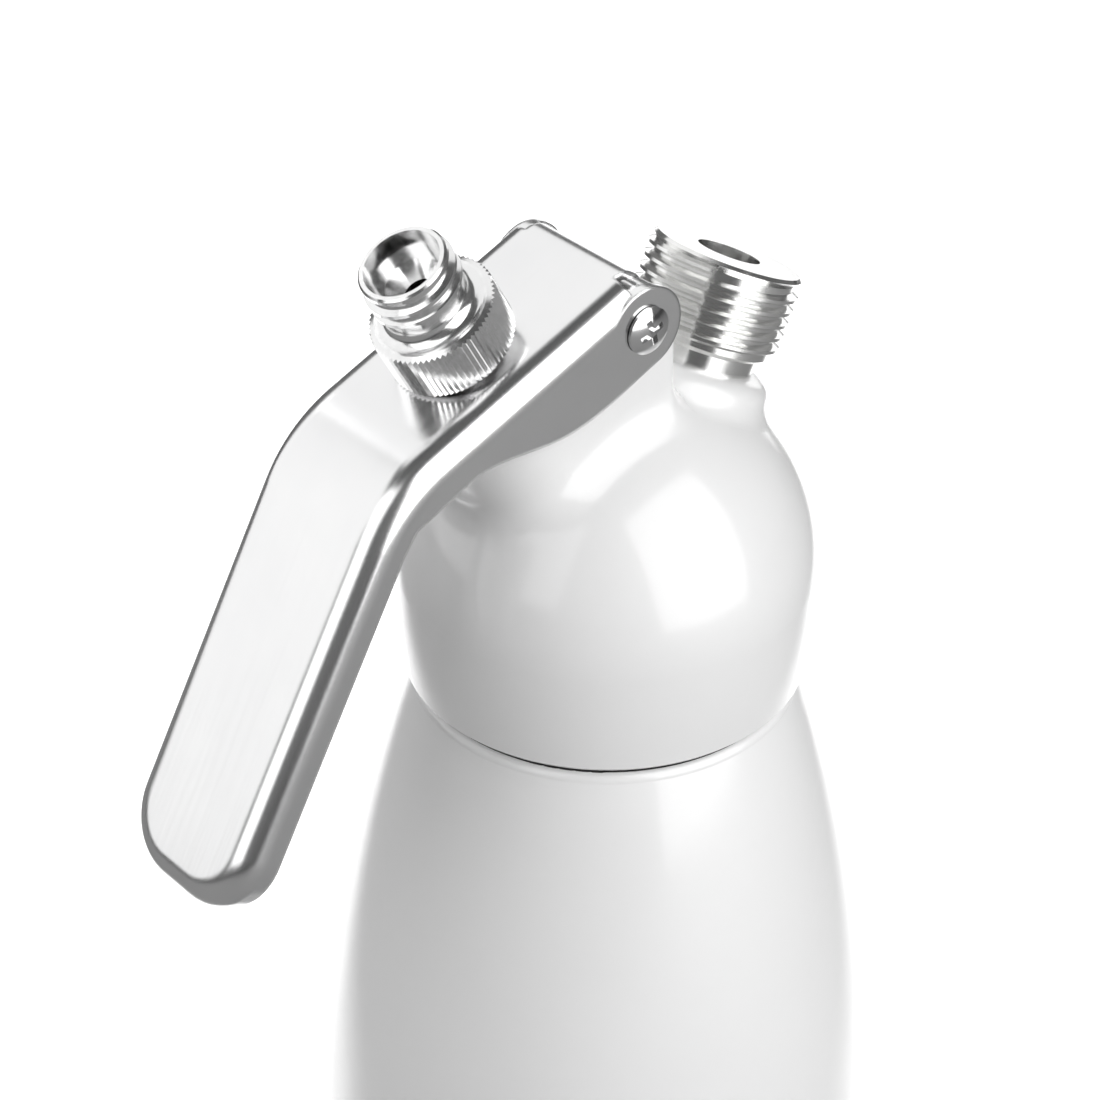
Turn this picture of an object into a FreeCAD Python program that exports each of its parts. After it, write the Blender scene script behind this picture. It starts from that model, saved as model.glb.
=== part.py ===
import FreeCAD, Part
import math
import os
from FreeCAD import Vector

# One litre whipped cream dispenser, in millimetres.
# The origin is the centre of the bottle's base, +Z points up along the bottle's axis.
# The charger port leans towards +X, the nozzle and the lever lie towards -X, and XZ is the mirror plane.

# Bottle
BODY_R = 47.5
BODY_STRAIGHT_TOP = 85.0
SHOULDER_R = 30.0
SHOULDER_Z = 194.6
SHOULDER_ROUND = 1.6
BASE_ROUND = 5.0
WALL = 1.8
BASE_THICKNESS = 3.0
SHOULDER_THICKNESS = 4.0

# Neck and its screw thread
NECK_R = 22.9
NECK_BORE_R = 19.5
NECK_HEIGHT = 16.0
NECK_PITCH = 3.0
NECK_THREAD_DEPTH = 1.1
NECK_THREAD_TURNS = 3.0
NECK_THREAD_ROOT_W = 1.7
NECK_THREAD_CREST_W = 0.8
NECK_THREAD_TOP_GAP = 1.6
THREAD_GAP = 0.4
THREAD_SINK = 0.3
GASKET_THICKNESS = 2.0

# Head: a dome on a skirt that tapers gently to the rim
DOME_R = 32.0
SKIRT_HEIGHT = 17.6
RIM_R = 31.0
RIM_ROUND = 0.8
RIM_GAP = 1.2
CAVITY_R = 21.0
CAVITY_RISE = 4.5

# Saddle block on the dome, which carries the lever's pivot and the valve
SADDLE_HALF_W = 11.7
SADDLE_REAR_X = 2.6
PIVOT_X = -5.0
PIVOT_OVER_DOME = 15.3
PIVOT_BLOCK_R = 4.6
SADDLE_CORNER = 1.5
SADDLE_BLEND = 8.0

# Valve axis: tilt from vertical, and the nozzle rim's centre ahead of and over the lever's pivot
VALVE_TILT = 29.3
RIM_AHEAD = 33.0
RIM_OVER_PIVOT = 16.76

# Nozzle adapter, lengths measured down from its rim
CUP_R = 5.65
CUP_DEPTH = 4.3
CUP_STEP_R = 4.3
ADAPTER_BORE_R = 2.45
CUP_CONE_DEPTH = 6.6
ADAPTER_RIM_R = 6.55
ADAPTER_CHAMFER = 0.3
ADAPTER_ROOT_R = 6.15
ADAPTER_THREAD_DEPTH = 0.85
ADAPTER_THREAD_ROOT_W = 1.5
ADAPTER_THREAD_CREST_W = 0.6
ADAPTER_PITCH = 2.0
ADAPTER_TURNS = 2.2
ADAPTER_THREAD_START = 1.0
ADAPTER_THREAD_END = 7.2
ADAPTER_FLARE_R = 1.9
KNURL_TOP = 9.76
KNURL_BOTTOM = 18.13
KNURL_R = 9.43
KNURL_COUNT = 72
KNURL_DEPTH = 0.42
KNURL_CHAMFER = 0.5
KNURL_MARGIN = 0.1
ADAPTER_SOCKET_TOP = 9.6

# Valve stem and what it carries, depths measured down the axis from the nozzle rim
STEM_R = 4.0
STEM_UPPER_R = 4.6
STEM_BORE_R = 2.0
STEM_TAIL_R = 3.0
STEM_TAIL_LENGTH = 7.0
SCREW_FIT = 0.05
RUNNING_FIT = 0.06
COLLAR_R = 7.3
COLLAR_TOP = 20.5
COLLAR_HEIGHT = 4.8
COLLAR_CROWN_R = 12.0
STEM_SHOULDER_R = 6.0
STEM_SHOULDER_T = 1.2
CROSS_HOLE_R = 1.1
STEM_BORE_END = 1.0
SEAL_R = 7.2
SEAL_THICKNESS = 2.5
RETAINER_FLATS = 11.0
RETAINER_THICKNESS = 3.4

# Valve bore in the head
SPRING_BORE_R = 8.0
BUSH_TOP = 38.5
BUSH_BOTTOM = 46.0
FLOW_BORE_R = 5.6
SEAT_DEPTH = 51.5
SEAT_POCKET_R = 9.0
TAIL_ROOM = 4.0
STEM_O_RING_WIRE = 0.9
BUSH_SLOT_W = 1.6
BUSH_SLOT_DEPTH = 1.5
SPRING_WIRE_R = 0.55
SPRING_TURNS = 4.0

# Lever, stamped from sheet
SHEET = 1.2
LEVER_HALF_W = 13.25
PLATE_TILT = 21.4
PLATE_OVER_PIVOT = 8.3
PLATE_LENGTH = 36.8
HANDLE_TILT = 60.7
BEND_R = 24.0
HANDLE_LENGTH = 58.5
PLATE_REAR = 4.0
EDGE_R = 4.0
TIP_R = 10.5
EAR_R = 6.5
EAR_NOTCH_W = 2.6
HANDLE_FLANGE = 6.4
FLANGE_BELLY_AT = 19.0
FLANGE_BELLY = 5.3
FLANGE_TOE_AT = 34.0
FLANGE_TOE_RISE = 0.3
STEM_SLOT_W = 10.4
STEM_SLOT_LENGTH = 12.4

# Pivot sleeve and screws
SLEEVE_R = 3.2
SLEEVE_BORE_R = 1.9
SHOULDER_SCREW_R = 2.5
SCREW_LENGTH = 8.0
SCREW_HEAD_R = 3.6
SCREW_HEAD_H = 1.3
SCREW_RIM_H = 0.455
SCREW_CROWN_R = 1.98
SCREW_CROWN_DROP = 0.27
EAR_PLAY = 0.15
CROSS_W = 1.0
CROSS_LENGTH = 4.2
CROSS_DEPTH = 0.9
CROSS_ANGLE = 20.0

# Charger port: tilt from vertical, its axis' distance from the dome's centre, depths down from the top,
# and the height of its boss where the boss's side leaves the dome
PORT_TILT = 25.9
PORT_ASIDE = 1.98
PORT_BOSS_WALL = 4.324
PORT_BOSS_R = 13.1
PORT_BOSS_DEPTH = 16.5
PORT_BOSS_ROUND = 3.0
PORT_BLEND = 5.0
PORT_ROOT_R = 10.9
PORT_THREAD_DEPTH = 1.1
PORT_THREAD_ROOT_W = 1.6
PORT_THREAD_CREST_W = 0.5
PORT_PITCH = 2.0
PORT_TURNS = 5.6
PORT_THREAD_START = 1.0
PORT_THREAD_END = 13.2
PORT_THREAD_RUNOUT = 0.4
PORT_FACE_R = 11.2
PORT_CHAMFER = 0.5
PORT_NECK_R = 9.6
PORT_NECK_CONE = 0.8
PORT_PLUG_R = 7.5
PORT_PLUG_END = 27.0
PORT_BORE_PAST = 4.0
PORT_HOLE_R = 4.9
PORT_HOLE_DEPTH = 10.0
PORT_GASKET_T = 1.6
PORT_GASKET_BORE_R = 2.4
PIN_R = 1.3
PIN_BORE_R = 0.5
PIN_TIP_DEPTH = 4.6
PIN_TIP_LENGTH = 2.0
PIN_TIP_WALL = 0.15
PIN_FLANGE_R = 2.8
PIN_FLANGE_T = 2.0
PIN_GASKET_T = 0.8
GAS_BORE_R = 1.0
BALL_R = 1.9
BALL_CHAMBER_R = 2.2
BALL_CHAMBER_TOP = 15.0
CHECK_PLUG_TOP = 23.6
CHECK_PLUG_BORE_R = 0.8
CHECK_SPRING_WIRE_R = 0.22
CHECK_SPRING_TURNS = 3.0
CHECK_SPRING_GAP = 0.15

# Places that follow from the sizes above
NECK_TOP = SHOULDER_Z + SHOULDER_ROUND + NECK_HEIGHT
GASKET_SEAT = NECK_TOP + GASKET_THICKNESS
RIM_Z = SHOULDER_Z + SHOULDER_ROUND + RIM_GAP
DOME_Z = RIM_Z + SKIRT_HEIGHT
CAVITY_Z = GASKET_SEAT + CAVITY_RISE
HEAD_BORE_R = NECK_R + NECK_THREAD_DEPTH + THREAD_GAP
DOME_CENTRE = Vector(0, 0, DOME_Z)
PIVOT = Vector(PIVOT_X, 0, DOME_Z + DOME_R + PIVOT_OVER_DOME)
NOZZLE_RIM = PIVOT + Vector(-RIM_AHEAD, 0, RIM_OVER_PIVOT)
VALVE_UP = Vector(-math.sin(math.radians(VALVE_TILT)), 0, math.cos(math.radians(VALVE_TILT)))
PORT_UP = Vector(math.sin(math.radians(PORT_TILT)), 0, math.cos(math.radians(PORT_TILT)))
PORT_FOOT = math.sqrt(DOME_R ** 2 - PORT_BOSS_R ** 2)
PORT_REACH = PORT_FOOT + PORT_BOSS_WALL + PORT_BOSS_DEPTH
PORT_TOP = DOME_CENTRE + PORT_UP * PORT_REACH + Vector(PORT_UP.z, 0, -PORT_UP.x) * PORT_ASIDE
KNURL_CORE_R = KNURL_R - 3 * KNURL_DEPTH
EAR_INNER = LEVER_HALF_W - SHEET
STEM_SHOULDER_TOP = COLLAR_TOP + COLLAR_HEIGHT
STEM_O_RING_R = STEM_R + RUNNING_FIT + STEM_O_RING_WIRE
Y_AXIS = Vector(0, 1, 0)
Z_AXIS = Vector(0, 0, 1)


def lathe(points):
    """Solid of revolution about Z. A pair is a corner; a triple (r, z, 'arc') is passed by an arc."""
    edges = []
    here = Vector(points[0][0], 0, points[0][1])
    through = None
    for point in points[1:] + [points[0]]:
        there = Vector(point[0], 0, point[1])
        if len(point) == 3:
            through = there
            continue
        if through is not None:
            edges.append(Part.Arc(here, through, there).toShape())
        elif (there - here).Length > 1e-7:
            edges.append(Part.makeLine(here, there))
        through = None
        here = there
    face = Part.Face(Part.Wire(edges))
    return face.revolve(Vector(0, 0, 0), Z_AXIS, 360)


def tube(outer, inner, low, high):
    """Straight round tube, or a plain rod where the inner radius is zero."""
    rod = Part.makeCylinder(outer, high - low, Vector(0, 0, low))
    if inner <= 0:
        return rod
    return rod.cut(Part.makeCylinder(inner, high - low + 2, Vector(0, 0, low - 1)))


def on_axis(shape, top, tilt):
    """Stands a shape that was made along Z on a tilted axis that starts at top."""
    shape.rotate(Vector(0, 0, 0), Y_AXIS, tilt)
    shape.translate(top)
    return shape


def on_valve(shape):
    return on_axis(shape, NOZZLE_RIM, -VALVE_TILT)


def on_port(shape):
    return on_axis(shape, PORT_TOP, PORT_TILT)


def helix_wire(radius, pitch, turns):
    """Helix made of equal stretches of about one turn, joined end to end."""
    count = math.ceil(turns - 1e-9)
    share = turns / count
    edges = []
    for index in range(count):
        stretch = Part.makeHelix(pitch, pitch * share, radius)
        stretch.rotate(Vector(0, 0, 0), Z_AXIS, 360 * share * index)
        stretch.translate(Z_AXIS * pitch * share * index)
        edges += stretch.Edges
    return Part.Wire(edges)


def thread(root_r, depth, pitch, start, turns, root_w, crest_w, inward=False):
    """Helical ridge with sloping flanks; it is sunk a little into the wall that it belongs to."""
    side = -1 if inward else 1
    foot_r = root_r - side * THREAD_SINK
    crest_r = root_r + side * depth
    half_foot = root_w / 2 + (root_w - crest_w) / 2 * THREAD_SINK / depth
    corners = [
        Vector(foot_r, 0, start - half_foot),
        Vector(crest_r, 0, start - crest_w / 2),
        Vector(crest_r, 0, start + crest_w / 2),
        Vector(foot_r, 0, start + half_foot),
    ]
    profile = Part.makePolygon(corners + corners[:1])
    path = helix_wire(root_r, pitch, turns)
    path.translate(Z_AXIS * start)
    return path.makePipeShell([profile], True, True)


def arc_point(centre, radius, degrees):
    """Point of the mirror plane on a circle, where 0 degrees is +X and 90 is up."""
    turn = math.radians(degrees)
    return centre + Vector(radius * math.cos(turn), 0, radius * math.sin(turn))


def prism(edges, half_width):
    """Flat outline in the mirror plane, thickened evenly to both sides."""
    face = Part.Face(Part.Wire(edges))
    face.translate(Vector(0, -half_width, 0))
    return face.extrude(Vector(0, 2 * half_width, 0))


def bottle():
    """Drawn bottle: straight wall, long ogive shoulder, flat step and a threaded neck."""
    drop = BODY_R - SHOULDER_R
    rise = SHOULDER_Z - BODY_STRAIGHT_TOP
    sweep = (rise * rise + drop * drop) / (2 * drop)
    half_turn = math.asin(rise / sweep) / 2
    mid_r = BODY_R - sweep * (1 - math.cos(half_turn))
    mid_z = BODY_STRAIGHT_TOP + sweep * math.sin(half_turn)
    round_bow = BASE_ROUND * (1 - math.sqrt(0.5))
    shoulder_bow = SHOULDER_ROUND * (1 - math.sqrt(0.5))
    step_z = SHOULDER_Z + SHOULDER_ROUND
    outer = lathe([
        (0, 0), (BODY_R - BASE_ROUND, 0), (BODY_R - round_bow, round_bow, "arc"), (BODY_R, BASE_ROUND),
        (BODY_R, BODY_STRAIGHT_TOP), (mid_r, mid_z, "arc"), (SHOULDER_R, SHOULDER_Z),
        (SHOULDER_R - shoulder_bow, step_z - shoulder_bow, "arc"), (SHOULDER_R - SHOULDER_ROUND, step_z),
        (NECK_R, step_z), (NECK_R, NECK_TOP), (0, NECK_TOP)])
    ceiling = step_z - SHOULDER_THICKNESS
    inner_r = BODY_R - WALL
    inner_shoulder_r = SHOULDER_R - WALL
    inner_round = BASE_ROUND - WALL
    inner_bow = inner_round * (1 - math.sqrt(0.5))
    inner = lathe([
        (0, BASE_THICKNESS), (inner_r - inner_round, BASE_THICKNESS),
        (inner_r - inner_bow, BASE_THICKNESS + inner_bow, "arc"), (inner_r, BASE_THICKNESS + inner_round),
        (inner_r, BODY_STRAIGHT_TOP), (mid_r - WALL, mid_z - WALL, "arc"), (inner_shoulder_r, ceiling - WALL),
        (NECK_BORE_R, ceiling), (NECK_BORE_R, NECK_TOP + 1), (0, NECK_TOP + 1)])
    length = NECK_PITCH * NECK_THREAD_TURNS
    start = NECK_TOP - NECK_THREAD_TOP_GAP - length
    ridge = thread(NECK_R, NECK_THREAD_DEPTH, NECK_PITCH, start, NECK_THREAD_TURNS,
                   NECK_THREAD_ROOT_W, NECK_THREAD_CREST_W)
    return outer.fuse(ridge).cut(inner)


def head_gasket():
    return tube(NECK_R - SCREW_FIT, NECK_BORE_R, NECK_TOP, GASKET_SEAT)


def dome_and_skirt():
    """Half ball on a skirt. The ball's own poles lie on its flanks, clear of every blend."""
    rim_mid_r = DOME_R - (DOME_R - RIM_R) / 4
    skirt = lathe([
        (0, RIM_Z), (RIM_R - RIM_ROUND, RIM_Z), (RIM_R, RIM_Z + RIM_ROUND),
        (rim_mid_r, RIM_Z + SKIRT_HEIGHT / 2, "arc"), (DOME_R, DOME_Z), (0, DOME_Z)])
    to_flank = Vector(0, -0.85, 0.53)
    ball = Part.makeSphere(DOME_R, Vector(0, 0, 0), to_flank)
    ball.translate(DOME_CENTRE)
    span = 3 * DOME_R
    upper = Part.makeBox(span, span, span, Vector(-span / 2, -span / 2, DOME_Z))
    return skirt.fuse(ball.common(upper)).removeSplitter()


def dome_seam(shape):
    """Edges where something stands on the ball's surface."""
    found = []
    for edge in shape.Edges:
        if edge.Length < 0.01 or len(shape.ancestorsOfType(edge, Part.Face)) < 2:
            continue
        step = (edge.LastParameter - edge.FirstParameter) / 4
        spots = [edge.valueAt(edge.FirstParameter + step * n) for n in range(5)]
        on_ball = all(abs((spot - DOME_CENTRE).Length - DOME_R) < 1e-3 for spot in spots)
        if on_ball and min(spot.z for spot in spots) > DOME_Z + DOME_R / 10:
            found.append(edge)
    return found


def saddle():
    """Block between the lever's ears, with a round front about the valve axis."""
    crown = PIVOT + VALVE_UP * PIVOT_BLOCK_R
    valve_point = NOZZLE_RIM - VALVE_UP * (NOZZLE_RIM - crown).dot(VALVE_UP)
    rear_tangent = arc_point(PIVOT, PIVOT_BLOCK_R, 45)
    rear_drop = SADDLE_REAR_X - rear_tangent.x
    rear_top = Vector(SADDLE_REAR_X, 0, rear_tangent.z - rear_drop)
    floor = DOME_Z + DOME_R / 2
    rear_floor = Vector(SADDLE_REAR_X, 0, floor)
    depth = (valve_point.z - floor) / VALVE_UP.z
    valve_floor = valve_point - VALVE_UP * depth
    crown_mid = arc_point(PIVOT, PIVOT_BLOCK_R, (45 + 90 + VALVE_TILT) / 2)
    edges = [
        Part.makeLine(valve_floor, rear_floor),
        Part.makeLine(rear_floor, rear_top),
        Part.makeLine(rear_top, rear_tangent),
        Part.Arc(rear_tangent, crown_mid, crown).toShape(),
        Part.makeLine(crown, valve_point),
        Part.makeLine(valve_point, valve_floor),
    ]
    block = prism(edges, SADDLE_HALF_W)
    nose = Part.makeCylinder(SADDLE_HALF_W, depth, valve_floor, VALVE_UP)
    block = block.fuse(nose).removeSplitter()
    corners = [e for e in block.Edges if is_rear_corner(e)]
    return block.makeFillet(SADDLE_CORNER, corners)


def is_rear_corner(edge):
    upright = abs(edge.tangentAt(edge.FirstParameter).z) > 0.999
    return upright and edge.Length > 5 and abs(edge.CenterOfMass.x - SADDLE_REAR_X) < 1e-3


def head_shell():
    """Dome, skirt, saddle and port boss, blended together, before anything is bored."""
    body = dome_and_skirt()
    with_saddle = body.fuse(saddle()).removeSplitter()
    with_saddle = with_saddle.makeFillet(SADDLE_BLEND, dome_seam(with_saddle))
    boss = on_port(tube(PORT_BOSS_R, 0, -PORT_BOSS_DEPTH - DOME_R / 2, -PORT_BOSS_DEPTH))
    with_boss = body.fuse(boss).removeSplitter()
    with_boss = with_boss.makeFillet(PORT_BLEND, dome_seam(with_boss))
    face_centre = PORT_TOP - PORT_UP * PORT_BOSS_DEPTH
    round_edges = [e for e in with_boss.Edges if (e.CenterOfMass - face_centre).Length < 1e-3]
    rim = [e for e in round_edges if e.Length > PORT_BOSS_R]
    with_boss = with_boss.makeFillet(PORT_BOSS_ROUND, rim)
    return with_saddle.fuse(with_boss)


def head():
    """Cast head: threaded skirt, cavity over the neck, spring bore, valve seat and port bore."""
    shell = head_shell()
    length = NECK_PITCH * NECK_THREAD_TURNS
    start = NECK_TOP - NECK_THREAD_TOP_GAP - length + NECK_PITCH / 2
    bow = math.sqrt(0.5)
    hollow = lathe([
        (0, RIM_Z - 1), (HEAD_BORE_R, RIM_Z - 1), (HEAD_BORE_R, GASKET_SEAT), (CAVITY_R, GASKET_SEAT),
        (CAVITY_R, CAVITY_Z), (CAVITY_R * bow, CAVITY_Z + CAVITY_R * bow, "arc"), (0, CAVITY_Z + CAVITY_R)])
    valve_bore = tube(SPRING_BORE_R, 0, -BUSH_BOTTOM, 0)
    flow_bore = tube(FLOW_BORE_R, 0, -SEAT_DEPTH - 1, -BUSH_BOTTOM + 1)
    seat_pocket = tube(SEAT_POCKET_R, 0, -SEAT_DEPTH - STEM_TAIL_LENGTH - TAIL_ROOM, -SEAT_DEPTH)
    port_bore = tube(PORT_PLUG_R, 0, -PORT_PLUG_END - PORT_BORE_PAST, -PORT_BOSS_DEPTH + 1)
    pivot_bore = Part.makeCylinder(SLEEVE_R, 4 * SADDLE_HALF_W, PIVOT - Y_AXIS * 2 * SADDLE_HALF_W, Y_AXIS)
    solid = shell.cut(hollow)
    solid = solid.cut(on_valve(valve_bore)).cut(on_valve(flow_bore)).cut(on_valve(seat_pocket))
    solid = solid.cut(on_port(port_bore)).cut(pivot_bore)
    ridge = thread(HEAD_BORE_R, NECK_THREAD_DEPTH, NECK_PITCH, start, NECK_THREAD_TURNS - 0.5,
                   NECK_THREAD_ROOT_W, NECK_THREAD_CREST_W, inward=True)
    return solid.fuse(ridge)


def nozzle_adapter():
    """Adapter with a thread and a cup for the decorating tip, and a knurled grip ring."""
    flare_r = ADAPTER_ROOT_R + ADAPTER_FLARE_R
    flare_z = -KNURL_TOP + ADAPTER_FLARE_R
    bow = ADAPTER_FLARE_R * math.sqrt(0.5)
    body = lathe([
        (0, -ADAPTER_SOCKET_TOP), (0, 0), (ADAPTER_RIM_R - ADAPTER_CHAMFER, 0),
        (ADAPTER_RIM_R, -ADAPTER_CHAMFER), (ADAPTER_RIM_R, -ADAPTER_THREAD_START),
        (ADAPTER_ROOT_R, -ADAPTER_THREAD_START - ADAPTER_CHAMFER),
        (ADAPTER_ROOT_R, flare_z), (flare_r - bow, flare_z - bow, "arc"), (flare_r, -KNURL_TOP),
        (KNURL_CORE_R, -KNURL_TOP), (KNURL_CORE_R, -KNURL_BOTTOM), (0, -KNURL_BOTTOM)])
    points = []
    for index in range(2 * KNURL_COUNT):
        radius = KNURL_R - KNURL_DEPTH * (index % 2)
        turn = math.pi * index / KNURL_COUNT
        points.append(Vector(radius * math.cos(turn), radius * math.sin(turn), -KNURL_BOTTOM))
    ring = Part.Face(Part.makePolygon(points + points[:1])).extrude(Z_AXIS * (KNURL_BOTTOM - KNURL_TOP))
    low = KNURL_R - 2 * KNURL_CHAMFER
    clear = KNURL_R + KNURL_MARGIN
    envelope = lathe([
        (0, -KNURL_BOTTOM), (low, -KNURL_BOTTOM), (clear, -KNURL_BOTTOM + KNURL_CHAMFER),
        (clear, -KNURL_TOP - KNURL_CHAMFER), (low, -KNURL_TOP), (0, -KNURL_TOP)])
    ring = ring.common(envelope)
    start = -ADAPTER_THREAD_END + ADAPTER_PITCH / 2
    ridge = thread(ADAPTER_ROOT_R, ADAPTER_THREAD_DEPTH, ADAPTER_PITCH, start, ADAPTER_TURNS,
                   ADAPTER_THREAD_ROOT_W, ADAPTER_THREAD_CREST_W)
    hollow = lathe([
        (0, 1), (CUP_R, 1), (CUP_R, -CUP_DEPTH), (CUP_STEP_R, -CUP_DEPTH), (ADAPTER_BORE_R, -CUP_CONE_DEPTH),
        (ADAPTER_BORE_R, -ADAPTER_SOCKET_TOP), (STEM_UPPER_R + SCREW_FIT, -ADAPTER_SOCKET_TOP),
        (STEM_UPPER_R + SCREW_FIT, -KNURL_BOTTOM - 1), (0, -KNURL_BOTTOM - 1)])
    return on_valve(body.fuse([ring, ridge]).cut(hollow))


def o_ring(ring_r, wire_r, z):
    return Part.makeTorus(ring_r, wire_r, Vector(0, 0, z), Z_AXIS)


def adapter_seal():
    """Flat seal between the stem's end and the adapter's shoulder."""
    return on_valve(tube(STEM_UPPER_R, ADAPTER_BORE_R, -ADAPTER_SOCKET_TOP - 1, -ADAPTER_SOCKET_TOP))


def valve_stem():
    """Hollow stem: screwed head, shoulder under the collar, plain shank and a tail for the seal."""
    top = ADAPTER_SOCKET_TOP + 1
    shoulder = STEM_SHOULDER_TOP
    end = SEAT_DEPTH + STEM_TAIL_LENGTH
    body = lathe([
        (0, -top), (STEM_UPPER_R, -top), (STEM_UPPER_R, -shoulder), (STEM_SHOULDER_R, -shoulder),
        (STEM_SHOULDER_R, -shoulder - STEM_SHOULDER_T), (STEM_R, -shoulder - STEM_SHOULDER_T),
        (STEM_R, -SEAT_DEPTH), (STEM_TAIL_R, -SEAT_DEPTH), (STEM_TAIL_R, -end), (0, -end)])
    hole_z = -(BUSH_BOTTOM + SEAT_DEPTH) / 2
    bore = tube(STEM_BORE_R, 0, hole_z - CROSS_HOLE_R - STEM_BORE_END, -top + 1)
    cross_x = Part.makeCylinder(CROSS_HOLE_R, 4 * STEM_R, Vector(-2 * STEM_R, 0, hole_z), Vector(1, 0, 0))
    cross_y = Part.makeCylinder(CROSS_HOLE_R, 4 * STEM_R, Vector(0, -2 * STEM_R, hole_z), Y_AXIS)
    return on_valve(body.cut(bore).cut(cross_x).cut(cross_y))


def valve_collar():
    """Crowned collar that the lever's plate presses on."""
    low = -COLLAR_TOP - COLLAR_HEIGHT
    bore = STEM_UPPER_R + SCREW_FIT
    crown_centre = -COLLAR_TOP - COLLAR_CROWN_R

    def crown(radius):
        return crown_centre + math.sqrt(COLLAR_CROWN_R ** 2 - radius ** 2)
    middle = (bore + COLLAR_R) / 2
    ring = lathe([(bore, low), (COLLAR_R, low), (COLLAR_R, crown(COLLAR_R)), (middle, crown(middle), "arc"),
                  (bore, crown(bore))])
    return on_valve(ring)


def coil(mean_r, wire_r, low, high, turns):
    """Helical spring of quarter turn arcs, one unbroken round wire."""
    steps = int(turns * 4)
    climb = (high - low) / turns
    points = []
    for index in range(2 * steps + 1):
        turn = index * math.pi / 4
        height = low + climb * turn / (2 * math.pi)
        points.append(Vector(mean_r * math.cos(turn), mean_r * math.sin(turn), height))
    edges = [Part.Arc(*points[2 * n:2 * n + 3]).toShape() for n in range(steps)]
    start = edges[0].tangentAt(edges[0].FirstParameter)
    ring = Part.Wire(Part.makeCircle(wire_r, points[0], start))
    print("coil gap", round(climb - 2 * wire_r, 2))
    return Part.Wire(edges).makePipeShell([ring], True, False)


def return_spring():
    low = -BUSH_TOP + SPRING_WIRE_R
    high = -STEM_SHOULDER_TOP - STEM_SHOULDER_T - SPRING_WIRE_R
    mean_r = (STEM_R + SPRING_BORE_R) / 2
    return on_valve(coil(mean_r, SPRING_WIRE_R, low, high, SPRING_TURNS))


def guide_bush():
    """Bush that guides the stem and carries the spring, with a slot for the fitting key."""
    groove = STEM_O_RING_R + STEM_O_RING_WIRE
    ring = tube(SPRING_BORE_R, STEM_R + RUNNING_FIT, -BUSH_BOTTOM, -BUSH_TOP)
    counterbore = tube(groove, 0, -BUSH_BOTTOM - 1, -BUSH_BOTTOM + 2 * STEM_O_RING_WIRE)
    slot = Part.makeBox(4 * SPRING_BORE_R, BUSH_SLOT_W, BUSH_SLOT_DEPTH + 1,
                        Vector(-2 * SPRING_BORE_R, -BUSH_SLOT_W / 2, -BUSH_TOP - BUSH_SLOT_DEPTH))
    return on_valve(ring.cut(counterbore).cut(slot))


def stem_o_ring():
    return on_valve(o_ring(STEM_O_RING_R, STEM_O_RING_WIRE, -BUSH_BOTTOM + STEM_O_RING_WIRE))


def valve_seal():
    return on_valve(tube(SEAL_R, STEM_TAIL_R, -SEAT_DEPTH - SEAL_THICKNESS, -SEAT_DEPTH))


def seal_retainer():
    """Thin hexagon nut under the seal."""
    corner = RETAINER_FLATS / math.sqrt(3)
    z = -SEAT_DEPTH - SEAL_THICKNESS - RETAINER_THICKNESS
    points = []
    for index in range(6):
        turn = math.pi * index / 3
        points.append(Vector(corner * math.cos(turn), corner * math.sin(turn), z))
    nut = Part.Face(Part.makePolygon(points + points[:1])).extrude(Z_AXIS * RETAINER_THICKNESS)
    return on_valve(nut.cut(tube(STEM_TAIL_R, 0, z - 1, z + RETAINER_THICKNESS + 1)))


def slope_pair(degrees):
    """Unit vectors down a slope towards -X, and square to it outwards."""
    turn = math.radians(degrees)
    return Vector(-math.cos(turn), 0, -math.sin(turn)), Vector(-math.sin(turn), 0, math.cos(turn))


AHEAD, PLATE_UP = slope_pair(PLATE_TILT)
DOWN, HANDLE_OUT = slope_pair(HANDLE_TILT)
BEND_CENTRE = PIVOT + PLATE_UP * (PLATE_OVER_PIVOT - BEND_R) + AHEAD * PLATE_LENGTH
FORM_DEPTH = 2 * LEVER_HALF_W


def lever_form(inset, extra):
    """Full lever body without its hollow, drawn inwards by the inset and deepened by the extra."""
    depth = FORM_DEPTH + extra
    rear = PIVOT + PLATE_UP * (PLATE_OVER_PIVOT - inset) - AHEAD * (PLATE_REAR - inset)
    bend_r = BEND_R - inset
    bend_start = BEND_CENTRE + PLATE_UP * bend_r
    bend_mid = BEND_CENTRE + slope_pair((PLATE_TILT + HANDLE_TILT) / 2)[1] * bend_r
    bend_end = BEND_CENTRE + HANDLE_OUT * bend_r
    tip = bend_end + DOWN * (HANDLE_LENGTH + TIP_R)
    fold = BEND_CENTRE - PLATE_UP * extra
    edges = [
        Part.makeLine(rear, bend_start),
        Part.Arc(bend_start, bend_mid, bend_end).toShape(),
        Part.makeLine(bend_end, tip),
        Part.makeLine(tip, tip - HANDLE_OUT * depth),
        Part.makeLine(tip - HANDLE_OUT * depth, fold),
        Part.makeLine(fold, rear - PLATE_UP * depth),
        Part.makeLine(rear - PLATE_UP * depth, rear),
    ]
    body = prism(edges, LEVER_HALF_W - inset).common(handle_plan(inset))
    chain = [e for e in body.Edges if is_outer_edge(e, rear, bend_r)]
    return body.makeFillet(EDGE_R - inset, chain)


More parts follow.
